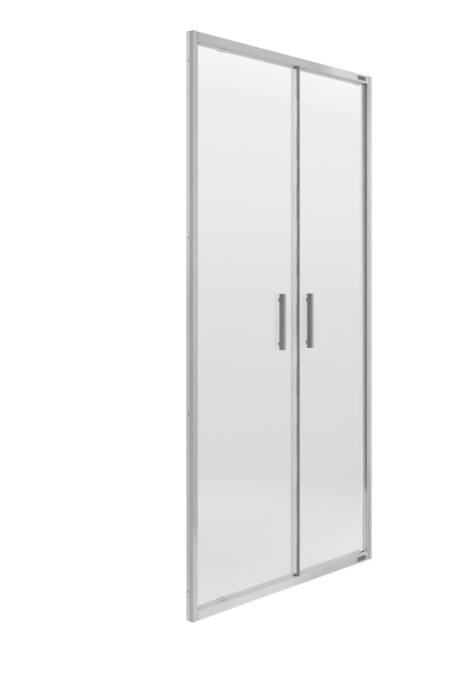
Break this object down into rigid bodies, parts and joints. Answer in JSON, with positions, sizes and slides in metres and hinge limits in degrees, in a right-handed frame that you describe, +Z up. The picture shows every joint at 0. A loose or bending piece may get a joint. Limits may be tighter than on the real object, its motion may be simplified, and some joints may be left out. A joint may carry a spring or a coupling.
{
  "type": "bifold shower door",
  "caption": "Framed bifold shower door: two clear glass leaves on a full-height hinge fold inwards, turning on pivots at one side and guided in the rails.",
  "frame": {"origin": "middle of the bottom rail's underside, at half the frame's width and depth", "axes": "+Z up, +X to the right seen from the room, +Y into the shower"},
  "size_m": [1, 0.035, 1.95],
  "materials": {
    "frame_aluminium": "bright anodised extrusion with fine lengthwise draw lines",
    "hinge_aluminium": "bright anodised extrusion, paler than the frame",
    "bright_chrome": "polished chrome",
    "handle_metal": "polished chrome, dark in its grooves",
    "handle_cap_metal": "polished chrome",
    "clear_glass": "clear toughened glass with a faint green edge",
    "clear_seal": "translucent soft plastic",
    "grey_gasket": "soft grey rubber",
    "black_plastic": "dark moulded plastic",
    "grey_plastic": "moulded grey plastic",
    "silver_plastic": "moulded silver plastic",
    "white_nylon": "turned white nylon",
    "stainless_steel": "stainless steel"
  },
  "bodies": {
    "frame": {"wall_profile_left": "frame_aluminium", "wall_profile_right": "frame_aluminium", "jamb_left": "frame_aluminium", "jamb_right": "frame_aluminium", "top_rail": "frame_aluminium", "bottom_rail": "frame_aluminium", "end_cap_left": "silver_plastic", "end_cap_right": "silver_plastic", "corner_screws": "stainless_steel", "adjuster_screws": "stainless_steel", "pivot_block_top": "grey_plastic", "pivot_block_bottom": "grey_plastic", "pivot_bush_top": "white_nylon", "pivot_bush_bottom": "white_nylon", "pivot_block_screws": "stainless_steel", "pivot_cover_top": "black_plastic", "pivot_cover_bottom": "black_plastic", "track_stop_top": "white_nylon", "track_stop_bottom": "white_nylon", "jamb_magnet_seal": "clear_seal", "side_seal": "clear_seal"},
    "pivot_leaf": {"pivot_glass": "clear_glass", "pivot_hinge_profile": "hinge_aluminium", "hinge_pin": "stainless_steel", "hinge_washers": "black_plastic", "pivot_hinge_cap_top": "black_plastic", "pivot_hinge_cap_bottom": "black_plastic", "pivot_glazing_gasket": "grey_gasket", "pivot_clamp_top": "bright_chrome", "pivot_clamp_bottom": "bright_chrome", "pivot_pin_top": "stainless_steel", "pivot_pin_bottom": "stainless_steel", "pivot_clamp_screws": "stainless_steel", "pivot_sweep_seals": "clear_seal", "pivot_handle": "handle_metal", "pivot_handle_caps": "handle_cap_metal", "pivot_handle_screws": "stainless_steel", "pivot_handle_roses": "bright_chrome"},
    "lead_leaf": {"lead_glass": "clear_glass", "lead_hinge_profile": "hinge_aluminium", "lead_hinge_cap_top": "black_plastic", "lead_hinge_cap_bottom": "black_plastic", "lead_glazing_gasket": "grey_gasket", "hinge_lip_seal": "clear_seal", "guide_clamp_top": "bright_chrome", "guide_clamp_bottom": "bright_chrome", "guide_axle_top": "stainless_steel", "guide_axle_bottom": "stainless_steel", "guide_clamp_screws": "stainless_steel", "lead_sweep_seals": "clear_seal", "lead_magnet_seal": "clear_seal", "lead_handle": "handle_metal", "lead_handle_caps": "handle_cap_metal", "lead_handle_screws": "stainless_steel", "lead_handle_roses": "bright_chrome"},
    "guide_wheel_top": {"guide_wheel_top": "white_nylon"},
    "guide_wheel_bottom": {"guide_wheel_bottom": "white_nylon"}
  },
  "joints": [
    {"name": "leaf_pivot", "type": "hinge", "parent": "frame", "child": "pivot_leaf", "pos_m": [0.427, 0.006, 0], "axis": [0, 0, -1], "range_deg": [0, 80]},
    {"name": "fold_hinge", "type": "hinge", "parent": "pivot_leaf", "child": "lead_leaf", "pos_m": [0.0425, -0.012, 0], "axis": [0, 0, 1], "range_deg": [0, 160]},
    {"name": "top_wheel_spin", "type": "hinge", "parent": "lead_leaf", "child": "guide_wheel_top", "pos_m": [-0.342, 0.006, 1.924], "axis": [0, 0, 1], "continuous": true},
    {"name": "bottom_wheel_spin", "type": "hinge", "parent": "lead_leaf", "child": "guide_wheel_bottom", "pos_m": [-0.342, 0.006, 0.018], "axis": [0, 0, 1], "continuous": true}
  ],
  "couplings": [
    {"joint": "fold_hinge", "follows": "leaf_pivot", "ratio": 2}
  ]
}
